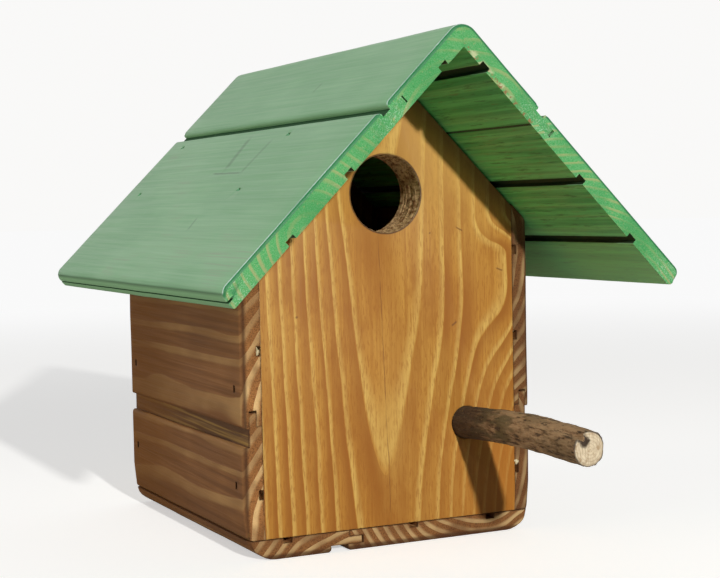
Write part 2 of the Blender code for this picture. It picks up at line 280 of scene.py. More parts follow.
def newGroup(name, inputs, outputs):
    # an input without a value takes a vector
    tree = bpy.data.node_groups.new(name, "ShaderNodeTree")
    for label, value in inputs.items():
        kind = "NodeSocketVector" if value is None else "NodeSocketFloat"
        socket = tree.interface.new_socket(label, in_out="INPUT", socket_type=kind)
        if value is not None:
            socket.default_value = value
    for label in outputs:
        tree.interface.new_socket(label, in_out="OUTPUT", socket_type="NodeSocketFloat")
    entry = tree.nodes.new("NodeGroupInput")
    leave = tree.nodes.new("NodeGroupOutput")
    return tree, entry.outputs, leave.inputs


def groupNode(tree, group, feeds):
    return addNode(tree, "ShaderNodeGroup", feeds, node_tree=group).outputs


# shared effects

def buildRingGroup():
    # yearly rings round a trunk along Z: late is the dense band that closes each ring
    tree, take, give = newGroup(
        "yearlyRings", {"Vector": None, "Ring Width": 0.004, "Wander": 0.002, "Shift": 0.0,
                        "Late From": 0.55, "Uneven": 0.4}, ("Late", "Position"))
    slow = stretch(tree, take["Vector"], (38, 38, 9))
    drift = addNode(tree, "ShaderNodeTexNoise", {"Vector": slow, "Scale": 1.0, "Detail": 2.0})
    centred = vectorMaths(tree, "SUBTRACT", drift.outputs["Color"], (0.5, 0.5, 0.5))
    moved = addNode(tree, "ShaderNodeVectorMath", {0: centred, "Scale": take["Wander"]}, operation="SCALE")
    point = vectorMaths(tree, "ADD", take["Vector"], moved.outputs[0])
    flat = stretch(tree, point, (1, 1, 0))
    radius = vectorMaths(tree, "LENGTH", flat)
    count = maths(tree, "ADD", maths(tree, "DIVIDE", radius, take["Ring Width"]), take["Shift"])
    uneven = grain(tree, point, (70, 70, 4), 2.0)
    count = maths(tree, "MULTIPLY_ADD", maths(tree, "SUBTRACT", uneven, 0.5), take["Uneven"], count)
    part = maths(tree, "FRACT", count)
    whole = maths(tree, "FLOOR", count)
    tone = addNode(tree, "ShaderNodeTexWhiteNoise", {"W": whole}, noise_dimensions="1D").outputs["Value"]
    start = maths(tree, "MULTIPLY_ADD", tone, 0.12, take["Late From"])
    rise = ramp(tree, part, start, maths(tree, "ADD", start, 0.27))
    fall = ramp(tree, part, 0.93, 1.0, 1.0, 0.0)
    tree.links.new(times(tree, rise, fall), give["Late"])
    tree.links.new(part, give["Position"])
    return tree


def buildFibreGroup():
    # fine streaks along the trunk, pores across it, and slow patches
    tree, take, give = newGroup("woodFibre", {"Vector": None}, ("Streak", "Pores", "Patch", "Brush"))
    streak = grain(tree, take["Vector"], (1300, 1300, 22), 4.0, 0.6)
    brush = grain(tree, take["Vector"], (420, 420, 7), 3.0, 0.55)
    pores = grain(tree, take["Vector"], (2300, 2300, 900), 3.0, 0.65)
    patch = grain(tree, take["Vector"], (32, 32, 14), 3.0, 0.55)
    for label, value in (("Streak", streak), ("Pores", pores), ("Patch", patch), ("Brush", brush)):
        tree.links.new(value, give[label])
    return tree


def buildFaceGroup():
    # which way a spot on a board looks: out of its fair face, out of its back, or along the grain
    tree, take, give = newGroup("boardFaces", {"Fair Face": None, "Along": None}, ("Fair", "Back", "End"))
    normal = addNode(tree, "ShaderNodeNewGeometry").outputs["Normal"]
    facing = vectorMaths(tree, "DOT_PRODUCT", normal, take["Fair Face"])
    along = vectorMaths(tree, "DOT_PRODUCT", normal, take["Along"])
    tree.links.new(ramp(tree, facing, 0.35, 0.8), give["Fair"])
    tree.links.new(ramp(tree, facing, -0.35, -0.8), give["Back"])
    tree.links.new(ramp(tree, maths(tree, "ABSOLUTE", along), 0.55, 0.9), give["End"])
    return tree


def buildArrisGroup():
    # worn or thickly painted edges: the rounded normal leaves the true one there
    tree, take, give = newGroup("arrisWear", {"Vector": None, "Breakup": 0.5}, ("Arris",))
    rounded = addNode(tree, "ShaderNodeBevel", {"Radius": 0.0011}, samples=6).outputs["Normal"]
    true = addNode(tree, "ShaderNodeNewGeometry").outputs["Normal"]
    turn = vectorMaths(tree, "DOT_PRODUCT", rounded, true)
    edge = ramp(tree, turn, 0.995, 0.86)
    rough = grain(tree, take["Vector"], (320, 320, 320), 3.0)
    gate = ramp(tree, rough, 0.3, 0.62)
    mixed = times(tree, edge, maths(tree, "MULTIPLY_ADD", gate, take["Breakup"],
                                                maths(tree, "SUBTRACT", 1.0, take["Breakup"])))
    tree.links.new(mixed, give["Arris"])
    return tree


def buildStrokeGroup():
    # a scratch, a crack or a line of dirt between two places, fading at both ends
    tree, take, give = newGroup(
        "strokeMark", {"Vector": None, "Start": None, "Span": None, "Width": 0.0003, "Wobble": 0.001},
        ("Mark",))
    sway = addNode(tree, "ShaderNodeTexNoise", {"Vector": take["Vector"], "Scale": 90.0, "Detail": 4.0})
    push = vectorMaths(tree, "SUBTRACT", sway.outputs["Color"], (0.5, 0.5, 0.5))
    push = addNode(tree, "ShaderNodeVectorMath", {0: push, "Scale": take["Wobble"]}, operation="SCALE")
    spot = vectorMaths(tree, "ADD", take["Vector"], push.outputs[0])
    reach = vectorMaths(tree, "SUBTRACT", spot, take["Start"])
    along = vectorMaths(tree, "DOT_PRODUCT", reach, take["Span"])
    length = vectorMaths(tree, "DOT_PRODUCT", take["Span"], take["Span"])
    part = maths(tree, "DIVIDE", along, length, clamp=True)
    foot = addNode(tree, "ShaderNodeVectorMath", {0: take["Span"], "Scale": part}, operation="SCALE")
    away = vectorMaths(tree, "LENGTH", vectorMaths(tree, "SUBTRACT", reach, foot.outputs[0]))
    line = ramp(tree, maths(tree, "DIVIDE", away, take["Width"]), 0.15, 1.0, 1.0, 0.0)
    fade = ramp(tree, maths(tree, "ABSOLUTE", maths(tree, "SUBTRACT", part, 0.5)), 0.40, 0.5, 1.0, 0.25)
    tree.links.new(times(tree, line, fade), give["Mark"])
    return tree


def strokeMask(tree, place, start, end, width, wobble=0.001):
    span = tuple(b - a for a, b in zip(start, end))
    return groupNode(tree, strokeGroup, {"Vector": place, "Start": start, "Span": span, "Width": width,
                                         "Wobble": wobble})["Mark"]


ringGroup = buildRingGroup()
strokeGroup = buildStrokeGroup()
fibreGroup = buildFibreGroup()
faceGroup = buildFaceGroup()
arrisGroup = buildArrisGroup()


def newMaterial(name):
    material = bpy.data.materials.new(name)
    material.use_nodes = True
    tree = material.node_tree
    tree.nodes.clear()
    shader = tree.nodes.new("ShaderNodeBsdfPrincipled")
    output = tree.nodes.new("ShaderNodeOutputMaterial")
    tree.links.new(shader.outputs[0], output.inputs["Surface"])
    place = addNode(tree, "ShaderNodeTexCoord").outputs["Object"]
    return material, tree, shader, place


def treeSpace(tree, place, pith, lean=(0.0, 0.0)):
    # puts the heart of the trunk at the origin, with the trunk, along the board, as Z
    feeds = {"Vector": place, "Location": (pith[0], 0.0, pith[1]),
             "Rotation": (-pi / 2 + radians(lean[0]), 0.0, radians(lean[1]))}
    return addNode(tree, "ShaderNodeMapping", feeds, vector_type="TEXTURE").outputs["Vector"]


def addBump(tree, shader, height, strength, distance):
    bump = addNode(tree, "ShaderNodeBump", {"Height": height, "Strength": strength, "Distance": distance})
    tree.links.new(bump.outputs["Normal"], shader.inputs["Normal"])


def woodReadings(tree, place, board):
    # everything that a board's colours are mixed from
    trunk = treeSpace(tree, place, board["pith"], board["lean"])
    rings = groupNode(tree, ringGroup, {"Vector": trunk, "Ring Width": board["ring"],
                                        "Wander": board["wander"], "Shift": board["shift"],
                                        "Late From": board["late"]})
    fibre = groupNode(tree, fibreGroup, {"Vector": trunk})
    faces = groupNode(tree, faceGroup, {"Fair Face": board["face"], "Along": (0, 1, 0)})
    return rings, fibre, faces


def facing(tree, axis):
    # how far the surface looks along one axis
    normal = addNode(tree, "ShaderNodeNewGeometry").outputs["Normal"]
    return axes(tree, normal)[axis]


# roof: thin green paint over tongue and groove boards

roofLook = {
    "fair": (0.208, 0.470, 0.230),
    "fairPale": (0.272, 0.555, 0.292),
    "fairDeep": (0.156, 0.402, 0.182),
    "end": (0.065, 0.385, 0.105),
    "endPale": (0.175, 0.475, 0.195),
    "endTan": (0.430, 0.420, 0.180),
    "endDeep": (0.020, 0.240, 0.060),
    "edge": (0.290, 0.570, 0.290),
    "recess": (0.036, 0.098, 0.046),
    "glitter": (0.480, 0.700, 0.520),
    "back": (0.200, 0.760, 0.230),
    "backBrown": (0.400, 0.700, 0.260),
    "backDeep": (0.100, 0.500, 0.140),
    "torn": (0.300, 0.150, 0.060),
    "tornPale": (0.560, 0.600, 0.340),
    "arris": (0.014, 0.190, 0.060),
    "paintedHighlight": (0.620, 0.820, 0.740),
    "backEaveLight": (0.470, 0.950, 0.440),
    "groove": (0.012, 0.040, 0.012),
    "scuff": (0.400, 0.330, 0.310),
    "roughness": (0.36, 0.62),
    "stopped": (0.0486, 0.0540, 0.0795),
    "inside": 0.13966,          # distance of the slope's back plane from the origin
    "outside": 0.14766,
}

slopeHalf = 0.70710678
roofBoards = {
    "roof_left_upper_board": {"pith": (-0.004, 0.168), "ring": 0.0042, "face": (-slopeHalf, 0, slopeHalf)},
    "roof_left_lower_board": {"pith": (-0.0636, 0.1296), "ring": 0.0042, "face": (-slopeHalf, 0, slopeHalf)},
    "roof_right_upper_board": {"pith": (0.004, 0.163), "ring": 0.0046, "face": (slopeHalf, 0, slopeHalf)},
    "roof_right_lower_board": {"pith": (0.0453, 0.0759), "ring": 0.0030, "face": (slopeHalf, 0, slopeHalf)},
}
for turn, board in enumerate(roofBoards.values()):
    board.update({"lean": (0.6 - 0.4 * turn, 0.5 * turn - 0.7), "wander": 0.0030, "shift": 0.0, "late": 0.5,
                  "down": (board["face"][0], 0, -slopeHalf), "torn": 0.0, "strokes": ()})
# two ends of each scratch, its half width and its strength
roofBoards["roof_right_upper_board"]["torn"] = 0.9
roofBoards["roof_left_upper_board"]["strokes"] = (
    ((-0.0183, -0.0492, 0.1905), (-0.0219, -0.0480, 0.1869), 0.0012, 0.30),)
roofBoards["roof_left_lower_board"]["strokes"] = (
    ((-0.0397, -0.0209, 0.1691), (-0.0528, -0.0260, 0.1560), 0.0030, 0.42),
    ((-0.0417, -0.0502, 0.1671), (-0.0553, -0.0484, 0.1535), 0.0022, 0.30),
    ((-0.0544, -0.0149, 0.1544), (-0.0550, -0.0476, 0.1538), 0.0007, 0.60),
    ((-0.0729, -0.0445, 0.1360), (-0.0774, -0.0463, 0.1314), 0.0014, 0.35))


def roofMaterial(name, board, gloss):
    material, tree, shader, place = newMaterial(name)
    shader.inputs["Specular IOR Level"].default_value = gloss
    rings, fibre, faces = woodReadings(tree, place, board)
    look = roofLook
    late, streak, brush, patch, pores = (rings["Late"], fibre["Streak"], fibre["Brush"],
                                         fibre["Patch"], fibre["Pores"])
    # fair face: milky, with faint brush and grain streaks
    top = blendColour(tree, ramp(tree, brush, 0.30, 0.74, 0.0, 0.55), look["fair"], look["fairPale"])
    top = blendColour(tree, ramp(tree, patch, 0.62, 0.40, 0.0, 0.5), top, look["fairDeep"])
    top = blendColour(tree, times(tree, late, 0.16), top, look["fairPale"])
    rub = times(tree, ramp(tree, patch, 0.57, 0.7), ramp(tree, streak, 0.45, 0.7))
    top = blendColour(tree, times(tree, rub, 0.35), top, look["scuff"])
    height = vectorMaths(tree, "DOT_PRODUCT", place, board["face"])
    # painted shade: the floor of the joint's recess is painted dark (it is also left bare, with less gloss)
    sunk = ramp(tree, height, look["outside"] - 0.0009, look["outside"] - 0.0016)
    top = blendColour(tree, sunk, top, look["recess"])
    # end grain soaks up the colour, and the dense bands stay tan
    end = blendColour(tree, ramp(tree, pores, 0.38, 0.66), look["end"], look["endPale"])
    flecks = grain(tree, place, (1100, 1100, 1100), 2.0, 0.5)
    end = blendColour(tree, ramp(tree, flecks, 0.60, 0.70, 0.0, 0.45), end, look["endTan"])
    end = blendColour(tree, ramp(tree, flecks, 0.40, 0.30, 0.0, 0.55), end, look["endDeep"])
    faint = times(tree, late, ramp(tree, patch, 0.42, 0.64, 0.12, 0.68))
    end = blendColour(tree, faint, end, look["endTan"])
    end = blendColour(tree, ramp(tree, patch, 0.58, 0.42, 0.0, 0.35), end, look["endDeep"])
    # back: sparse paint, brown grain lines
    under = blendColour(tree, ramp(tree, brush, 0.62, 0.38), look["back"], look["backDeep"])
    under = blendColour(tree, times(tree, late, 0.28), under, look["backBrown"])
    under = blendColour(tree, ramp(tree, patch, 0.5, 0.7, 0.0, 0.25), under, look["backBrown"])
    under = blendColour(tree, ramp(tree, streak, 0.6, 0.35, 0.0, 0.4), under, look["backDeep"])
    fibres = grain(tree, place, (850, 55, 850), 4.0, 0.7)
    under = blendColour(tree, ramp(tree, fibres, 0.56, 0.72, 0.0, 0.42), under, look["torn"])
    under = blendColour(tree, ramp(tree, fibres, 0.46, 0.30, 0.0, 0.60), under, look["groove"])
    # painted shade: the relief grooves and the sides of the seams are painted dark; the seam line is a dark
    # joint
    grooveShade = times(tree, ramp(tree, height, look["inside"] + 0.0002, look["inside"] + 0.0004),
                     ramp(tree, height, look["inside"] + 0.0032, look["inside"] + 0.0027))
    down = vectorMaths(tree, "DOT_PRODUCT", place, board["down"])
    down = maths(tree, "ADD", down, look["inside"])
    grooveShade = times(tree, grooveShade, ramp(tree, down, 0.1280, 0.1265))
    seam = ramp(tree, maths(tree, "ABSOLUTE", maths(tree, "SUBTRACT", down, 0.04035)), 0.0007, 0.0003)
    # painted light: the underside is painted lighter towards the eave
    thin = ramp(tree, down, 0.085, 0.128, 0.0, 0.65)
    under = blendColour(tree, thin, under, look["backEaveLight"])
    under = blendColour(tree, maths(tree, "MAXIMUM", grooveShade, seam), under, look["groove"])
    side = blendColour(tree, grooveShade, look["edge"], look["groove"])
    # pale specks in the end grain near the joint and the eave
    paleSpecks = grain(tree, place, (2600, 2600, 2600), 1.0)
    zone = maths(tree, "MAXIMUM", ramp(tree, maths(tree, "ABSOLUTE", maths(tree, "SUBTRACT", down, 0.041)),
                                       0.013, 0.004), ramp(tree, down, 0.112, 0.126))
    paleSpecks = times(tree, ramp(tree, paleSpecks, 0.57, 0.66), times(tree, zone, 0.6))
    end = blendColour(tree, paleSpecks, end, look["glitter"])
    # fibres torn out along the inner edge of the front
    torn = ramp(tree, grain(tree, place, (420, 420, 620), 3.0), 0.50, 0.58)
    torn = times(tree, torn, ramp(tree, height, look["inside"] + 0.0021, look["inside"] + 0.0009))
    torn = times(tree, torn, ramp(tree, down, 0.050, 0.040, 0.0, board["torn"]))
    bare = ramp(tree, grain(tree, place, (260, 260, 260), 2.0), 0.45, 0.55)
    bare = times(tree, bare, ramp(tree, height, look["inside"] + 0.0030, look["inside"] + 0.0012))
    bare = times(tree, bare, ramp(tree, down, 0.034, 0.020, 0.0, board["torn"]))
    apex = axes(tree, place)["X"]
    bare = times(tree, bare, ramp(tree, apex, 0.0015, 0.0040))
    end = blendColour(tree, bare, end, look["tornPale"])
    end = blendColour(tree, torn, end, look["torn"])
    for start, stop, width, deep in board["strokes"]:
        mark = strokeMask(tree, place, start, stop, width)
        top = blendColour(tree, times(tree, mark, deep), top, look["recess"])
    colour = blendColour(tree, faces["Fair"], side, top)
    colour = blendColour(tree, faces["Back"], colour, under)
    colour = blendColour(tree, faces["End"], colour, end)
    # paint gathers, dark and glossy, on the rounded arris between a face and its end
    normal = addNode(tree, "ShaderNodeNewGeometry").outputs["Normal"]
    outward = vectorMaths(tree, "DOT_PRODUCT", normal, board["face"])
    endward = maths(tree, "ABSOLUTE", facing(tree, "Y"))
    band = times(tree, outward, endward)
    band = ramp(tree, band, 0.06, 0.26)
    colour = blendColour(tree, times(tree, band, 0.92), colour, look["arris"])
    # and a pale painted highlight lies where the round begins
    pale = times(tree, ramp(tree, endward, 0.10, 0.28), ramp(tree, endward, 0.58, 0.40))
    pale = times(tree, pale, ramp(tree, outward, 0.55, 0.75))
    pale = times(tree, pale, ramp(tree, patch, 0.35, 0.6, 0.45, 0.85))
    colour = blendColour(tree, pale, colour, look["paintedHighlight"])
    tree.links.new(colour, shader.inputs["Base Color"])
    low, high = look["roughness"]
    rough = ramp(tree, streak, 0.3, 0.75, low, low + 0.14)
    rough = maths(tree, "MULTIPLY_ADD", faces["End"], high - low, rough)
    rough = maths(tree, "MULTIPLY_ADD", maths(tree, "MAXIMUM", faces["Back"], sunk), high - low, rough)
    rough = maths(tree, "MULTIPLY_ADD", band, -0.22, rough)
    tree.links.new(rough, shader.inputs["Roughness"])
    height = maths(tree, "MULTIPLY_ADD", streak, 0.5, times(tree, late, 0.35))
    height = maths(tree, "MULTIPLY_ADD", times(tree, pores, faces["End"]), 1.1, height)
    addBump(tree, shader, height, 0.35, 0.0004)
    return material


ridgeShape = {"radius": 0.0072, "slices": (0.0051, 0.0046, 0.0038, 0.0024, 0.0012)}


def roundRidge(piece, side):
    # the ridge is sanded to a full round
    radius = ridgeShape["radius"]
    centre = Vector((0.0, 0.0, (roofLook["outside"] - radius) / slopeHalf))
    sliceAt(piece, (1, 0, 0), [side * across for across in ridgeShape["slices"]])
    for vertex in piece.data.vertices:
        out = Vector((vertex.co.x, 0.0, vertex.co.z)) - centre
        if abs(out.x) < ridgeShape["slices"][0] + 0.0001 and out.z > 0.003 and out.length > radius:
            rounded = centre + out.normalized() * radius
            vertex.co.x, vertex.co.z = rounded.x, rounded.z


endRound = {"radius": 0.0014, "steps": 4, "eave": 0.1270}


def roundFairEnds(piece, frontY, backY, face, down):
    # sands the arris where the fair face, the ridge round and the eave round meet an end
    radius, line = endRound["radius"], roofLook["inside"]
    ridge = Vector((0.0, 0.0, (roofLook["outside"] - ridgeShape["radius"]) / slopeHalf))
    insets = [radius * (1.0 - sin(pi / 2 * step / endRound["steps"])) for step in range(endRound["steps"])]
    sliceAt(piece, (0, 1, 0), [place for inset in insets for place in (frontY + inset, backY - inset)])
    ways = []
    for vertex in piece.data.vertices:
        above, reach = vertex.co.dot(face) - line, vertex.co.dot(down) + line
        onRidge = Vector((vertex.co.x, 0.0, vertex.co.z)) - ridge
        way = face if above > 0.0076 else None
        if abs(vertex.co.x) < ridgeShape["slices"][0] and onRidge.z > 0.003:
            way = onRidge.normalized()
        elif reach > endRound["eave"] and above > 0.0030:
            way = (down * max(0.0, reach - endRound["eave"]) + face * max(0.0, above - 0.0040)).normalized()
        ways.append(way)
    for vertex, way in zip(piece.data.vertices, ways):
        inset = min(abs(vertex.co.y - frontY), abs(vertex.co.y - backY))
        if way and inset < radius:
            vertex.co -= way * (radius - (radius * radius - (radius - inset) ** 2) ** 0.5)


# where two roof boards meet: how far down the slope, and how deep in the board
roofJoint = {"down": (0.030, 0.0478), "through": (0.0003, 0.0068), "swell": 0.000155}


def makeRoofBoard(nodeName):
    piece = copyNode(nodeName, nodeName.replace("_board", "_plank"))
    low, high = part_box(nodeName)
    face = Vector(roofBoards[nodeName]["face"])
    down = Vector(roofBoards[nodeName]["down"])
    line = roofLook["inside"]

    def inJoint(spot):
        (top, foot), (near, far) = roofJoint["down"], roofJoint["through"]
        return top < spot.dot(down) + line < foot and line + near < spot.dot(face) < line + far

    def inSeam(part):
        onRidge = abs(part.center.x) < 0.0004 and abs(part.normal.x) > 0.9
        return abs(part.normal.y) < 0.5 and (onRidge or inJoint(part.center))

    def atJoint(spot):
        return abs(spot.x) < 0.0004 or inJoint(spot)

    closeSeam(piece, inSeam, roofJoint["swell"])
    for vertex in piece.data.vertices:
        # the back row of brads is stopped with putty and painted over
        below = roofLook["outside"] - vertex.co.dot(face)
        near = min(abs(vertex.co.dot(down) + line - place) for place in roofLook["stopped"])
        if vertex.co.y > 0.02 and 0.0004 < below < 0.0015 and near < 0.002:
            vertex.co += face * (below - 0.00008)
    if "upper" in nodeName:
        roundRidge(piece, 1 if face.x > 0 else -1)
    roundFairEnds(piece, low.y, high.y, face, down)
    easeArrises(piece, 0.00035, 2, 45, atJoint)
    sliceAlong(piece, (0, 1, 0), low.y + 0.004, high.y - 0.004, 0.009)
    sliceAlong(piece, down, -0.150, 0.0, 0.011)
    handWork(piece, 0.00010, 0.021, 1)
    smoothBy(piece, 32)
    piece.data.materials.append(roofMaterial(piece.name + "_paint", roofBoards[nodeName], 0.5))
    piece.data.materials.append(roofMaterial(piece.name + "_bare", roofBoards[nodeName], 0.04))
    for part in piece.data.polygons:
        if part.normal.dot(face) > 0.9 and part.center.dot(face) < roofLook["outside"] - 0.0011:
            part.material_index = 1
    finishPiece(piece, "roof", nodeName)


for nodeName in roofBoards:
    makeRoofBoard(nodeName)
print("roof planks made")


# walls and base: brown stain over the same kind of board

wallLook = {
    "fair": (0.330, 0.148, 0.052),
    "fairDeep": (0.170, 0.070, 0.022),
    "fairPale": (0.520, 0.300, 0.115),
    "rear": (0.190, 0.064, 0.000),
    "recess": (0.360, 0.220, 0.054),
    "recessDeep": (0.105, 0.050, 0.018),
    "end": (0.450, 0.190, 0.056),
    "endCream": (0.930, 0.620, 0.280),
    "endDeep": (0.060, 0.020, 0.007),
    "arris": (0.050, 0.019, 0.007),
    "roughness": 0.62,
}

wallBoards = {
    "wall_left_lower_board": {"pith": (-0.012, 0.008), "ring": 0.0052, "face": (-1, 0, 0), "soak": 0.0},
    "wall_left_upper_board": {"pith": (-0.009, 0.052), "ring": 0.0054, "face": (-1, 0, 0), "soak": 0.0},
    "wall_right_lower_board": {"pith": (0.016, 0.035), "ring": 0.0046, "face": (1, 0, 0), "soak": 0.60},
    "wall_right_upper_board": {"pith": (0.018, 0.120), "ring": 0.0049, "face": (1, 0, 0), "soak": 0.60},
    "base_left_board": {"pith": (-0.018, -0.032), "ring": 0.0046, "face": (0, 0, -1), "soak": 0.40},
    "base_right_board": {"pith": (0.040, 0.034), "ring": 0.0040, "face": (0, 0, -1), "soak": 0.40},
}
wallOutside = 0.066
for turn, board in enumerate(wallBoards.values()):
    board.update({"lean": (1.1 - 0.5 * turn, 0.4 * turn - 0.9), "wander": 0.0042, "shift": 0.2, "late": 0.5,
                  "outer": wallOutside if board["face"][0] else 0.0})

cornerRound = {"top": 0.020, "from": 0.052, "depth": 0.0040}


def wallMaterial(name, board):
    material, tree, shader, place = newMaterial(name)
    rings, fibre, faces = woodReadings(tree, place, board)
    arris = groupNode(tree, arrisGroup, {"Vector": place, "Breakup": 0.5})
    look = wallLook
    late, streak, brush, patch, pores = (rings["Late"], fibre["Streak"], fibre["Brush"],
                                         fibre["Patch"], fibre["Pores"])
    skin = blendColour(tree, ramp(tree, brush, 0.62, 0.36, 0.0, 0.7), look["fair"], look["fairDeep"])
    skin = blendColour(tree, ramp(tree, patch, 0.6, 0.4, 0.0, 0.5), skin, look["fairDeep"])
    streaks = times(tree, ramp(tree, late, 0.30, 0.95), ramp(tree, patch, 0.36, 0.62, 0.30, 0.85))
    skin = blendColour(tree, streaks, skin, look["fairPale"])
    # the milled recess kept more of the yellow of the wood
    reach = vectorMaths(tree, "DOT_PRODUCT", place, board["face"])
    sunk = times(tree, ramp(tree, reach, 0.0648, 0.0642), ramp(tree, reach, 0.060, 0.062))
    milled = blendColour(tree, ramp(tree, brush, 0.46, 0.60), look["recessDeep"], look["recess"])
    sunk = times(tree, times(tree, sunk, 0.75), faces["Fair"])
    skin = blendColour(tree, sunk, skin, milled)
    depth = axes(tree, place)["Y"]
    # painted shade: the wall's face darkens towards the back
    skin = blendColour(tree, ramp(tree, depth, -0.030, 0.060, 0.0, 0.80), skin, look["rear"])
    # painted shade: a dark band along both ends of the face, where the rounded corners turn away
    corner = times(tree, ramp(tree, maths(tree, "ABSOLUTE", depth), 0.0700, 0.0722), 0.70)
    skin = blendColour(tree, corner, skin, look["endDeep"])
    end = blendColour(tree, ramp(tree, pores, 0.30, 0.58, 0.25, 1.0), look["endDeep"], look["end"])
    cream = times(tree, ramp(tree, rings["Position"], 0.42, 0.75),
                  ramp(tree, patch, 0.36, 0.58, 0.35, 1.0))
    end = blendColour(tree, cream, end, look["endCream"])
    end = blendColour(tree, ramp(tree, patch, 0.54, 0.36, 0.0, 0.40), end, look["endDeep"])
    # more stain stayed along the outer edge, and in the boards that were stained first
    rim = ramp(tree, reach, board["outer"] - 0.0026, board["outer"] - 0.0010, board["soak"], 0.88)
    end = blendColour(tree, rim, end, look["endDeep"])
    colour = blendColour(tree, faces["End"], skin, end)
    colour = blendColour(tree, times(tree, arris["Arris"], 0.8), colour, look["arris"])
    tree.links.new(colour, shader.inputs["Base Color"])
    rough = ramp(tree, streak, 0.3, 0.75, look["roughness"], look["roughness"] + 0.16)
    tree.links.new(rough, shader.inputs["Roughness"])
    height = maths(tree, "MULTIPLY_ADD", streak, 0.6, times(tree, late, 0.4))
    height = maths(tree, "MULTIPLY_ADD", times(tree, pores, faces["End"]), 1.6, height)
    addBump(tree, shader, height, 0.5, 0.0006)
    shader.inputs["Specular IOR Level"].default_value = 0.22
    return material


def makeWallBoard(nodeName):
    piece = copyNode(nodeName, nodeName.replace("_board", "_plank"))
    low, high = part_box(nodeName)
    isBase = nodeName.startswith("base")

    def inSeam(part):
        # the joint between two boards
        spot = part.center
        across, through = (spot.x, spot.z) if isBase else (spot.z - 0.07, abs(spot.x))
        hidden = 0.0003 < through < 0.0077 if isBase else 0.0583 < through < 0.0655
        return abs(part.normal.y) < 0.5 and abs(across) < 0.045 and hidden

    closeSeam(piece, inSeam, 0.00012)
    easeArrises(piece, 0.0006, 3, 60)
    sliceAlong(piece, (0, 1, 0), low.y + 0.004, high.y - 0.004, 0.009)
    if not isBase:
        sliceAlong(piece, (0, 0, 1), 0.0, 0.140, 0.010)
    handWork(piece, 0.00018, 0.017, 2)
    for vertex in piece.data.vertices:
        # the bottom corners are sanded round, up into the walls
        share = max(0.0, cornerRound["top"] - vertex.co.z) / cornerRound["top"]
        side = (abs(vertex.co.x) - cornerRound["from"]) / (wallOutside - cornerRound["from"])
        side = min(1.0, max(0.0, side))
        vertex.co.x -= cornerRound["depth"] * share * share * side * (1 if vertex.co.x > 0 else -1)
    smoothBy(piece, 32)
    piece.data.materials.append(wallMaterial(piece.name + "_stain", wallBoards[nodeName]))
    finishPiece(piece, "base" if isBase else "wall", nodeName)


for nodeName in wallBoards:
    makeWallBoard(nodeName)
print("wall and base planks made")


# front and back: oiled flat-sawn pine

holeWear = {"centre": (-0.0015, 0.1443), "radius": 0.016, "fuzz": 0.00045}

# the drying check runs from the entrance hole nearly to the base
checkCrack = {"markTop": (-0.0054, -0.0725, 0.1290), "markBottom": (-0.0015, -0.0725, 0.0085),
              "top": (-0.0054, 0.1290), "bottom": (-0.0015, 0.0125), "width": 0.00030, "depth": 0.0030,
              "cuts": 40, "wander": 0.0009}

panelLook = {
    "early": (0.515, 0.238, 0.038),
    "earlyDeep": (0.340, 0.122, 0.016),
    "earlyWarm": (0.560, 0.290, 0.056),
    "earlyOrange": (0.430, 0.150, 0.016),
    "late": (0.690, 0.430, 0.110),
    "pale": (0.640, 0.390, 0.095),
    "end": (0.880, 0.590, 0.290),
    "endDeep": (0.270, 0.115, 0.036),
    "rim": (0.060, 0.025, 0.012),
    "speck": (0.170, 0.060, 0.018),
    "roughness": 0.52,
    # places of the small dark marks, each with its half width
    "marks": (((-0.0424, -0.0725, 0.0955), (-0.0416, -0.0725, 0.0962), 0.0008),
              ((0.0182, -0.0725, 0.1276), (0.0190, -0.0725, 0.1281), 0.0006),
              ((0.0310, -0.0725, 0.1300), (0.0342, -0.0725, 0.1284), 0.0005),
              ((0.0500, -0.0725, 0.1122), (0.0530, -0.0725, 0.1112), 0.0006),
              ((0.0280, -0.0725, 0.0890), (0.0305, -0.0725, 0.0905), 0.0007)),
}

panelFigure = {
    "front_panel": {"pithY": -0.0425, "tip": 0.0302, "axisX": -0.0024, "axisLean": -0.032, "upright": 1.0,
                    "squeeze": 0.725, "spread": 0.39, "spreadTop": 0.100,
                    "dip": 1.95, "dipX": (0.032, 0.056), "dipLow": (0.055, 0.108), "dipHigh": (0.118, 0.136)},
    "back_panel": {"pithY": 0.0385, "tip": 0.1450, "axisX": 0.0110, "axisLean": 0.045, "upright": -1.0,
                   "squeeze": 0.92, "spread": -0.20, "spreadTop": 0.140,
                   "dip": 1.3, "dipX": (-0.020, -0.050), "dipLow": (0.020, 0.050), "dipHigh": (0.056, 0.090)},
}


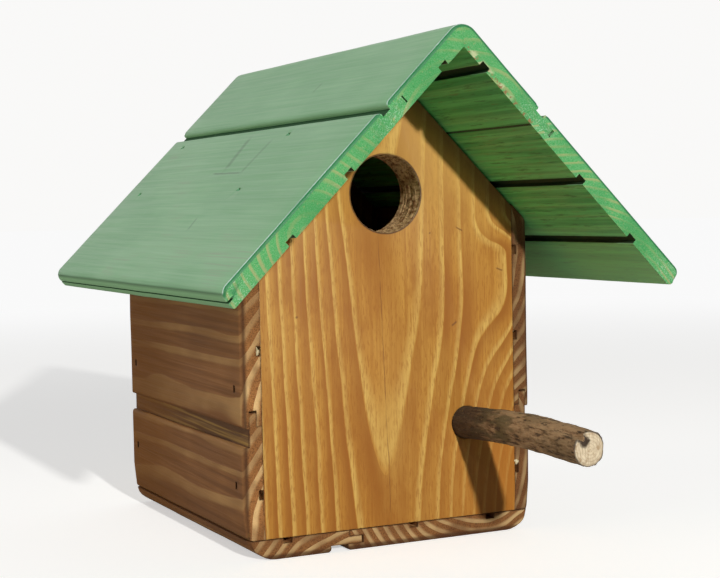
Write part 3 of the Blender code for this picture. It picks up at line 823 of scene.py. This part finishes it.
def panelReadings(tree, place, figure):
    # flat-sawn figure: rings about a trunk behind the face, tapering, so that they close in a point
    parts = axes(tree, place)
    climb = maths(tree, "SUBTRACT", parts["Z"], figure["tip"])
    axis = maths(tree, "MULTIPLY_ADD", climb, figure["axisLean"], figure["axisX"])
    across = maths(tree, "SUBTRACT", parts["X"], axis)
    sway = grain(tree, place, (45, 45, 20), 2.0)
    across = maths(tree, "ADD", across, times(tree, maths(tree, "SUBTRACT", sway, 0.5), 0.0030))
    rightSide = maths(tree, "GREATER_THAN", across, 0.0)
    spread = ramp(tree, parts["Z"], 0.0, figure["spreadTop"], figure["squeeze"] + figure["spread"],
                  figure["squeeze"])
    squeeze = maths(tree, "MULTIPLY_ADD", rightSide, maths(tree, "SUBTRACT", spread, 1.0), 1.0)
    across = times(tree, across, squeeze)
    depth = maths(tree, "SUBTRACT", parts["Y"], figure["pithY"])
    trunk = addNode(tree, "ShaderNodeCombineXYZ", {"X": across, "Y": depth, "Z": parts["Z"]}).outputs[0]
    fade = ramp(tree, maths(tree, "ABSOLUTE", across), 0.010, 0.042, 1.0, 0.0)
    taper = times(tree, times(tree, climb, -9.5 * figure["upright"]), fade)
    # a knot beyond the edge draws the rings aside
    near = ramp(tree, parts["X"], *figure["dipX"])
    near = times(tree, near, ramp(tree, parts["Z"], *figure["dipLow"]))
    near = times(tree, near, ramp(tree, parts["Z"], *figure["dipHigh"], 1.0, 0.0))
    shift = maths(tree, "MULTIPLY_ADD", near, -figure["dip"], maths(tree, "ADD", taper, 0.617))
    return trunk, shift


def panelMaterial(name, figure):
    material, tree, shader, place = newMaterial(name)
    look = panelLook
    trunk, shift = panelReadings(tree, place, figure)
    rings = groupNode(tree, ringGroup, {"Vector": trunk, "Ring Width": 0.0047, "Wander": 0.0008,
                                        "Shift": shift, "Late From": 0.55, "Uneven": 0.22})
    fibre = groupNode(tree, fibreGroup, {"Vector": place})
    faces = groupNode(tree, faceGroup, {"Fair Face": (0, 1, 0), "Along": (0, 0, 1)})
    arris = groupNode(tree, arrisGroup, {"Vector": place, "Breakup": 0.6})
    late, streak, brush, patch = rings["Late"], fibre["Streak"], fibre["Brush"], fibre["Patch"]
    colour = blendColour(tree, ramp(tree, rings["Position"], 0.05, 0.6), look["earlyDeep"], look["early"])
    colour = blendColour(tree, ramp(tree, patch, 0.4, 0.66, 0.0, 0.8), colour, look["earlyWarm"])
    cloud = grain(tree, place, (62, 62, 40), 4.0, 0.6)
    colour = blendColour(tree, ramp(tree, cloud, 0.50, 0.68, 0.0, 0.55), colour, look["earlyDeep"])
    colour = blendColour(tree, ramp(tree, brush, 0.62, 0.36, 0.0, 0.4), colour, look["earlyDeep"])
    strength = ramp(tree, cloud, 0.64, 0.42, 0.62, 0.98)
    colour = blendColour(tree, times(tree, late, strength), colour, look["late"])
    dashes = grain(tree, place, (1500, 1500, 260), 2.0, 0.55)
    colour = blendColour(tree, ramp(tree, dashes, 0.50, 0.66, 0.0, 0.50), colour, look["earlyDeep"])
    colour = blendColour(tree, ramp(tree, streak, 0.62, 0.4, 0.0, 0.25), colour, look["earlyDeep"])
    across = axes(tree, place)
    corner = times(tree, ramp(tree, across["X"], 0.010, 0.055),
                   ramp(tree, across["Z"], 0.085, 0.02))
    colour = blendColour(tree, times(tree, corner, 0.72), colour, look["earlyOrange"])
    colour = blendColour(tree, ramp(tree, across["Z"], 0.115, 0.165, 0.0, 0.40), colour, look["pale"])
    tip = vectorMaths(tree, "SUBTRACT", stretch(tree, place, (1, 0, 1)), (-0.0020, 0.0, 0.0480))
    tip = vectorMaths(tree, "LENGTH", stretch(tree, tip, (1.0, 0.0, 0.40)))
    colour = blendColour(tree, ramp(tree, tip, 0.0100, 0.0020, 0.0, 0.38), colour, look["pale"])
    # painted shade along the roof, where the panel meets it
    near = maths(tree, "ADD", maths(tree, "ABSOLUTE", across["X"]), across["Z"])
    near = ramp(tree, near, (roofLook["inside"] - 0.0120) / slopeHalf,
                (roofLook["inside"] - 0.0010) / slopeHalf, 0.0, 0.62)
    colour = blendColour(tree, near, colour, look["rim"])
    if name.startswith("front"):
        for start, stop, width in look["marks"]:
            mark = strokeMask(tree, place, start, stop, width, 0.0016)
            colour = blendColour(tree, times(tree, mark, 0.75), colour, look["speck"])
        crack = strokeMask(tree, place, checkCrack["markTop"], checkCrack["markBottom"], 0.00026, 0.0010)
        colour = blendColour(tree, times(tree, crack, 0.7), colour, look["speck"])
        ring = vectorMaths(tree, "SUBTRACT", stretch(tree, place, (1, 0, 1)),
                           (holeWear["centre"][0], 0.0, holeWear["centre"][1]))
        ring = maths(tree, "SUBTRACT", vectorMaths(tree, "LENGTH", ring), 0.0161)
        ring = ramp(tree, maths(tree, "ABSOLUTE", ring), 0.0007, 0.0002)
        colour = blendColour(tree, times(tree, ring, ramp(tree, cloud, 0.3, 0.55, 0.4, 0.9)),
                             colour, look["rim"])
    bore = ramp(tree, maths(tree, "ABSOLUTE", facing(tree, "Y")), 0.4, 0.8, 1.0, 0.0)
    tufts = grain(tree, place, (620, 240, 520), 5.0, 0.7)
    fuzz = blendColour(tree, ramp(tree, tufts, 0.36, 0.62), look["endDeep"], look["end"])
    colour = blendColour(tree, bore, colour, fuzz)
    colour = blendColour(tree, times(tree, arris["Arris"], 0.4), colour, look["rim"])
    tree.links.new(colour, shader.inputs["Base Color"])
    rough = ramp(tree, streak, 0.3, 0.75, look["roughness"], look["roughness"] + 0.12)
    rough = maths(tree, "MULTIPLY_ADD", bore, 0.35, rough)
    tree.links.new(rough, shader.inputs["Roughness"])
    height = maths(tree, "MULTIPLY_ADD", streak, 0.45, times(tree, late, 0.25))
    height = maths(tree, "MULTIPLY_ADD", times(tree, tufts, bore), 4.0, height)
    addBump(tree, shader, height, 0.30, 0.0004)
    shader.inputs["Specular IOR Level"].default_value = 0.30
    return material


def cutCrack(panel):
    crack = checkCrack
    deselectAll()
    bpy.ops.mesh.primitive_cube_add(size=1.0, location=(0, 0, 0.5))
    blade = bpy.context.object
    selectParts(blade, "EDGE", lambda edge, mesh: edgeRun(edge, mesh, 2) > 0.5)
    bpy.ops.mesh.subdivide(number_cuts=crack["cuts"])
    backToObject()
    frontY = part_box("front_panel")[0].y
    (topX, topZ), (bottomX, bottomZ) = crack["top"], crack["bottom"]
    for vertex in blade.data.vertices:
        part = vertex.co.z
        middle = bottomX + (topX - bottomX) * part
        middle += crack["wander"] * noise.noise(Vector((0.0, 0.0, part * 7.0)))
        thin = 0.15 + 0.85 * sin(pi * min(1.0, part * 0.9 + 0.06))
        side = 1 if vertex.co.x > 0 else -1
        deep = vertex.co.y > 0
        vertex.co = Vector((middle + side * crack["width"] * thin / 2 * (0.25 if deep else 1.0),
                            frontY + (crack["depth"] if deep else -0.002),
                            bottomZ + (topZ - bottomZ) * part))
    activate(panel)
    cut = panel.modifiers.new("check", "BOOLEAN")
    cut.operation = "DIFFERENCE"
    cut.solver = "EXACT"
    cut.object = blade
    bpy.ops.object.modifier_apply(modifier=cut.name)
    bpy.data.objects.remove(blade, do_unlink=True)


def roughenBore(panel):
    # a hole saw leaves the bore torn where it meets end grain
    wear = holeWear
    centre = Vector((wear["centre"][0], 0.0, wear["centre"][1]))

    def onBore(co):
        return abs((Vector((co.x, 0.0, co.z)) - centre).length - wear["radius"]) < 0.0004

    selectParts(panel, "EDGE", lambda edge, mesh: edgeRun(edge, mesh, 1) > 0.01
                and all(onBore(co) for co in edgeEnds(edge, mesh)))
    bpy.ops.mesh.subdivide(number_cuts=30)
    backToObject()
    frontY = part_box("front_panel")[0].y
    for vertex in panel.data.vertices:
        out = Vector((vertex.co.x, 0.0, vertex.co.z)) - centre
        inset = vertex.co.y - frontY
        if abs(out.length - wear["radius"]) < 0.0004 and 0.0008 < inset < 0.0172:
            tear = noise.fractal(vertex.co * 900, 0.8, 2.0, 3) + 0.6 * noise.noise(vertex.co * 260)
            vertex.co += out.normalized() * wear["fuzz"] * tear


def makePanel(nodeName):
    piece = copyNode(nodeName, nodeName.replace("_panel", "_board"))
    # a tight fit between the side boards
    closeSeam(piece, lambda face: abs(face.normal.x) > 0.9 and abs(face.center.x) > 0.05, 0.0002)
    easeArrises(piece, 0.00035, 2, 60)
    if nodeName == "front_panel":
        cutCrack(piece)
        roughenBore(piece)
    smoothBy(piece, 30)
    piece.data.materials.append(panelMaterial(piece.name + "_oil", panelFigure[nodeName]))
    finishPiece(piece, "panel", nodeName)


for nodeName in panelFigure:
    makePanel(nodeName)
print("panels made")


# perch: a natural stick

perchShape = {"x": 0.0345, "z": 0.0479, "radius": 0.0067, "reach": 0.091, "rise": 0.002, "arch": 162,
              "sides": 96, "step": 0.00085, "ridge": 0.00042, "lump": 0.00045,
              "notchAngle": 128, "notchDepth": 0.0024, "notchRun": 0.010}

barkLook = {
    "bark": (0.230, 0.130, 0.060),
    "barkPale": (0.440, 0.280, 0.145),
    "barkDeep": (0.045, 0.024, 0.012),
    "moss": (0.085, 0.066, 0.024),
    "cut": (0.800, 0.680, 0.480),
    "cutRing": (0.400, 0.260, 0.135),
    "pith": (0.045, 0.025, 0.012),
}


def perchCentre(out):
    part = max(0.0, out) / perchShape["reach"]
    return perchShape["x"], perchShape["z"] + perchShape["rise"] * sin(radians(perchShape["arch"] * part))


def barkRadius(angle, out):
    shape = perchShape
    ring = Vector((cos(angle), sin(angle), 0.0))
    grow = min(1.0, max(0.0, (out - 0.0004) / 0.004))
    ridges = noise.fractal(Vector((ring.x * 3.2, ring.y * 3.2, out / 0.016)), 0.9, 2.1, 4)
    fine = noise.noise(Vector((ring.x * 11.0, ring.y * 11.0, out / 0.0035)))
    lumps = noise.noise(Vector((ring.x * 1.1 + 4.0, ring.y * 1.1, out / 0.022)))
    radius = shape["radius"] + grow * (shape["ridge"] * (ridges + 0.35 * fine) + shape["lump"] * lumps)
    # a fold in the bark that runs into the cut end
    turn = (angle - radians(shape["notchAngle"]) + pi) % tau - pi
    near = exp(-((shape["reach"] - out) / shape["notchRun"]) ** 2)
    radius -= shape["notchDepth"] * near * exp(-(turn / 0.20) ** 2)
    return radius


def makePerch():
    shape = perchShape
    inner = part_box("perch")[1].y
    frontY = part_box("front_panel")[0].y
    length = inner - frontY + shape["reach"]
    deselectAll()
    bpy.ops.mesh.primitive_circle_add(vertices=shape["sides"], radius=shape["radius"], fill_type="NGON",
                                      location=(shape["x"], inner, shape["z"]), rotation=(pi / 2, 0, 0))
    stick = bpy.context.object
    stick.name = "perch_stick"
    settle(stick)
    selectParts(stick, "FACE", lambda face, mesh: True)
    count = round(length / shape["step"])
    bpy.ops.mesh.extrude_region_move(TRANSFORM_OT_translate={"value": (0, -length, 0)})
    backToObject()
    selectParts(stick, "EDGE", lambda edge, mesh: edgeRun(edge, mesh, 1) > length / 2)
    bpy.ops.mesh.subdivide(number_cuts=count)
    backToObject()
    # both cut faces get rings of their own, so that they can be shaped
    for place in (inner, inner - length):
        selectParts(stick, "FACE", lambda face, mesh: abs(face.normal.y) > 0.9
                    and abs(face.center.y - place) < 0.001)
        for width in (0.0002, 0.0006, 0.0012, 0.0018, 0.0014):
            bpy.ops.mesh.inset(thickness=width, use_boundary=True)
        backToObject()
    for vertex in stick.data.vertices:
        out = frontY - vertex.co.y
        dx, dz = vertex.co.x - shape["x"], vertex.co.z - shape["z"]
        angle = atan2(dz, dx)
        share = (dx * dx + dz * dz) ** 0.5 / shape["radius"]
        radius = barkRadius(angle, out) * share
        cx, cz = perchCentre(out)
        vertex.co.x = cx + radius * cos(angle)
        vertex.co.z = cz + radius * sin(angle)
        if out > shape["reach"] - 0.0001:
            # the saw cut is slightly domed, rough and out of square
            vertex.co.y += 0.0009 * share ** 6 + 0.00025 * noise.noise(vertex.co * 700) + 0.03 * dx
    activate(stick)
    bpy.ops.object.mode_set(mode="EDIT")
    bpy.ops.mesh.select_all(action="SELECT")
    bpy.ops.mesh.normals_make_consistent(inside=False)
    backToObject()
    smoothBy(stick, 42)
    stick.data.materials.append(barkMaterial())
    stick.data.materials.append(cutEndMaterial())
    for face in stick.data.polygons:
        if abs(face.normal.y) > 0.72:
            face.material_index = 1
    finishPiece(stick, "bark", "perch")


def barkMaterial():
    material, tree, shader, place = newMaterial("perch_bark")
    look = barkLook
    local = vectorMaths(tree, "SUBTRACT", place, (perchShape["x"], 0.0, perchShape["z"]))
    ridges = grain(tree, local, (620, 150, 620), 6.0, 0.68)
    patches = grain(tree, local, (95, 38, 95), 3.0, 0.6)
    specks = grain(tree, local, (900, 700, 900), 3.0, 0.6)
    colour = blendColour(tree, ramp(tree, ridges, 0.4, 0.62), look["bark"], look["barkPale"])
    # painted light: the top of the stick is painted paler
    paintedTopLight = ramp(tree, facing(tree, "Z"), 0.40, 0.90, 0.0, 0.75)
    colour = blendColour(tree, paintedTopLight, colour, look["barkPale"])
    root = axes(tree, place)["Y"]
    moss = times(tree, ramp(tree, patches, 0.47, 0.56, 0.0, 0.85),
                 ramp(tree, root, -0.128, -0.108, 0.35, 1.0))
    colour = blendColour(tree, moss, colour, look["moss"])
    colour = blendColour(tree, ramp(tree, ridges, 0.47, 0.36, 0.0, 0.9), colour, look["barkDeep"])
    # painted shade: the stick is painted darker towards the panel
    colour = blendColour(tree, ramp(tree, root, -0.112, -0.080, 0.0, 0.90), colour, look["barkDeep"])
    colour = blendColour(tree, ramp(tree, specks, 0.62, 0.75, 0.0, 0.5), colour, look["barkPale"])
    tree.links.new(colour, shader.inputs["Base Color"])
    tree.links.new(ramp(tree, specks, 0.3, 0.7, 0.78, 0.95), shader.inputs["Roughness"])
    height = maths(tree, "MULTIPLY_ADD", specks, 0.35, ridges)
    addBump(tree, shader, height, 1.0, 0.0011)
    return material


def cutEndMaterial():
    material, tree, shader, place = newMaterial("perch_cut_end")
    look = barkLook
    local = vectorMaths(tree, "SUBTRACT", place, (perchShape["x"], 0.0, perchShape["z"] + 0.0006))
    upright = addNode(tree, "ShaderNodeMapping", {"Vector": local, "Rotation": (pi / 2, 0, 0)}).outputs[0]
    rings = groupNode(tree, ringGroup, {"Vector": stretch(tree, upright, (1, 1, 0)), "Ring Width": 0.0012,
                                        "Wander": 0.0012, "Shift": 0.0, "Late From": 0.5})
    saw = grain(tree, local, (1600, 1, 260), 3.0, 0.6)
    colour = blendColour(tree, times(tree, rings["Late"], 0.4), look["cut"], look["cutRing"])
    colour = blendColour(tree, ramp(tree, saw, 0.6, 0.35, 0.0, 0.45), colour, look["cutRing"])
    flat = vectorMaths(tree, "LENGTH", stretch(tree, local, (1, 0, 1)))
    blot = grain(tree, local, (420, 1, 420), 4.0, 0.6)
    colour = blendColour(tree, ramp(tree, blot, 0.50, 0.68, 0.0, 0.75), colour, look["cutRing"])
    split = vectorMaths(tree, "SUBTRACT", stretch(tree, local, (1, 0, 1)), (-0.0026, 0.0, 0.0034))
    split = vectorMaths(tree, "LENGTH", split)
    split = maths(tree, "MULTIPLY_ADD", maths(tree, "SUBTRACT", blot, 0.5), 0.004, split)
    colour = blendColour(tree, ramp(tree, split, 0.0030, 0.0016), colour, look["pith"])
    colour = blendColour(tree, ramp(tree, flat, 0.0059, 0.0066, 0.0, 0.9), colour, look["barkDeep"])
    tree.links.new(colour, shader.inputs["Base Color"])
    tree.links.new(ramp(tree, saw, 0.3, 0.7, 0.7, 0.9), shader.inputs["Roughness"])
    addBump(tree, shader, saw, 0.5, 0.0004)
    return material


makePerch()
print("perch made")


# glue that squeezed out and dried in the relief grooves

glueBeads = {
    "beads": [((0.0588, 0.0860), 0.0011), ((0.0590, 0.0292), 0.0017), ((0.0604, 0.0312), 0.0012),
              ((-0.0590, 0.0829), 0.0012), ((-0.0596, 0.0842), 0.0008)],
    "colour": (0.680, 0.580, 0.360),
    "colourDeep": (0.420, 0.330, 0.170),
    "roughness": 0.35,
}


def glueMaterial():
    material, tree, shader, place = newMaterial("dried_glue")
    blot = grain(tree, place, (900, 900, 900), 3.0)
    colour = blendColour(tree, ramp(tree, blot, 0.35, 0.65), glueBeads["colourDeep"], glueBeads["colour"])
    tree.links.new(colour, shader.inputs["Base Color"])
    tree.links.new(ramp(tree, blot, 0.3, 0.7, glueBeads["roughness"], glueBeads["roughness"] + 0.25),
                   shader.inputs["Roughness"])
    addBump(tree, shader, blot, 0.4, 0.0004)
    return material


def makeGlue():
    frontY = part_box("front_panel")[0].y
    glue = glueMaterial()
    for number, ((x, z), size) in enumerate(glueBeads["beads"], 1):
        deselectAll()
        bpy.ops.mesh.primitive_ico_sphere_add(subdivisions=4, radius=size, location=(x, frontY + 0.0012, z))
        bead = bpy.context.object
        bead.name = f"glue_bead_{number}"
        bead.scale = (0.85, 0.9, 1.1)
        settle(bead)
        middle = Vector((x, frontY + 0.0012, z))
        for vertex in bead.data.vertices:
            away = vertex.co - middle
            vertex.co = middle + away * (1.0 + 0.35 * noise.noise(vertex.co * 800))
        smoothBy(bead, 60)
        bead.data.materials.append(glue)
        finishPiece(bead, "panel")


makeGlue()
print("glue made")


# brads: dull wire, a little rust

def bradMaterial():
    material, tree, shader, place = newMaterial("brad_wire")
    rust = grain(tree, place, (1500, 1500, 1500), 3.0)
    colour = blendColour(tree, ramp(tree, rust, 0.4, 0.62), (0.060, 0.055, 0.050), (0.110, 0.050, 0.025))
    tree.links.new(colour, shader.inputs["Base Color"])
    tree.links.new(ramp(tree, rust, 0.4, 0.6, 0.8, 0.1), shader.inputs["Metallic"])
    tree.links.new(ramp(tree, rust, 0.3, 0.7, 0.4, 0.8), shader.inputs["Roughness"])
    addBump(tree, shader, rust, 0.4, 0.0002)
    return material


wire = bradMaterial()
for name, node in nodes.items():
    if name.startswith("brad_"):
        for slot in node.material_slots:
            slot.material = wire
print("brads finished")


# stage, light and camera

stageSettings = {"radius": 12.0, "pale": (0.86, 0.86, 0.85), "dim": (0.46, 0.45, 0.43), "lift": 0.50,
                 "near": 0.35, "far": 1.6}

lightSettings = {
    "keyPlace": (-0.258, -2.435, 0.983),
    "keyAim": (0.0, -0.07, 0.10),
    "keyPower": 57.0,
    "keyWidth": 0.085,
    "fillPlace": (-2.2, 0.28, 0.02),
    "fillPower": 28.0,
    "fillWidth": 1.6,
    "behind": 0.95,
    "front": 0.034,
    "back": 0.30,
    "side": 0.42,
}

cameraSettings = {"place": (-0.28526, -0.63162, 0.13898), "turn": (86.9576, 1.1287, -25.9431),
                  "lens": 76.886, "sensor": 36.0}


def makeFloor():
    deselectAll()
    bpy.ops.mesh.primitive_circle_add(vertices=96, radius=stageSettings["radius"], fill_type="NGON")
    floor = bpy.context.object
    floor.name = "studio_floor"
    material = bpy.data.materials.new("pale_floor")
    material.use_nodes = True
    tree = material.node_tree
    tree.nodes.clear()
    place = addNode(tree, "ShaderNodeTexCoord").outputs["Object"]
    seen = addNode(tree, "ShaderNodeLightPath").outputs["Is Camera Ray"]
    away = vectorMaths(tree, "LENGTH", place)
    far = ramp(tree, away, stageSettings["near"], stageSettings["far"])
    bare = addNode(tree, "ShaderNodeBsdfDiffuse", {"Color": (*stageSettings["pale"], 1.0)}).outputs[0]
    dim = addNode(tree, "ShaderNodeBsdfDiffuse", {"Color": (*stageSettings["dim"], 1.0)}).outputs[0]
    glow = addNode(tree, "ShaderNodeEmission", {"Strength": lightSettings["behind"]}).outputs[0]
    lift = addNode(tree, "ShaderNodeEmission", {"Strength": stageSettings["lift"]}).outputs[0]
    lifted = addNode(tree, "ShaderNodeAddShader", {0: bare, 1: lift}).outputs[0]
    near = addNode(tree, "ShaderNodeMixShader", {0: far, 1: lifted, 2: glow}).outputs[0]
    mixed = addNode(tree, "ShaderNodeMixShader", {0: seen, 1: dim, 2: near}).outputs[0]
    addNode(tree, "ShaderNodeOutputMaterial", {"Surface": mixed})
    floor.data.materials.append(material)


def makeWorld():
    world = bpy.data.worlds.new("studio")
    world.use_nodes = True
    bpy.context.scene.world = world
    tree = world.node_tree
    tree.nodes.clear()
    look = lightSettings
    way = addNode(tree, "ShaderNodeTexCoord").outputs["Generated"]
    parts = axes(tree, way)
    deep = parts["Y"]
    path = addNode(tree, "ShaderNodeLightPath").outputs
    soft = ramp(tree, deep, -0.1, 0.6, look["front"], look["back"])
    # the same soft light reaches round the right side
    side = ramp(tree, maths(tree, "ADD", parts["X"], deep), 0.15, 0.85, 0.0, look["side"])
    soft = maths(tree, "MAXIMUM", soft, side)
    shiny = ramp(tree, deep, -0.2, 0.45, 0.20, 0.84)
    strength = maths(tree, "ADD", times(tree, path["Is Diffuse Ray"], soft),
                     times(tree, maths(tree, "SUBTRACT", 1.0, path["Is Diffuse Ray"]), shiny))
    backdrop = times(tree, path["Is Camera Ray"], look["behind"])
    strength = maths(tree, "MAXIMUM", strength, backdrop)
    sky = addNode(tree, "ShaderNodeBackground", {"Color": (1.0, 0.995, 0.985, 1.0), "Strength": strength})
    addNode(tree, "ShaderNodeOutputWorld", {"Surface": sky.outputs[0]})


def makeLight(part, colour):
    look = lightSettings
    place = Vector(look[part + "Place"])
    deselectAll()
    bpy.ops.object.light_add(type="AREA", location=place)
    lamp = bpy.context.object
    lamp.name = part + "_light"
    lamp.rotation_euler = (Vector(look["keyAim"]) - place).to_track_quat("-Z", "Y").to_euler()
    lamp.data.shape = "DISK"
    lamp.data.size = look[part + "Width"]
    lamp.data.energy = look[part + "Power"]
    lamp.data.color = colour
    lamp.visible_camera = False


def makeCamera():
    deselectAll()
    bpy.ops.object.camera_add(location=cameraSettings["place"],
                              rotation=[radians(turn) for turn in cameraSettings["turn"]])
    camera = bpy.context.object
    camera.data.lens = cameraSettings["lens"]
    camera.data.sensor_width = cameraSettings["sensor"]
    camera.data.clip_start = 0.01
    bpy.context.scene.camera = camera


makeFloor()
makeWorld()
makeLight("key", (1.0, 0.985, 0.955))
makeLight("fill", (1.0, 0.93, 0.84))
makeCamera()
bpy.context.scene.view_settings.view_transform = "Standard"
print("stage ready")
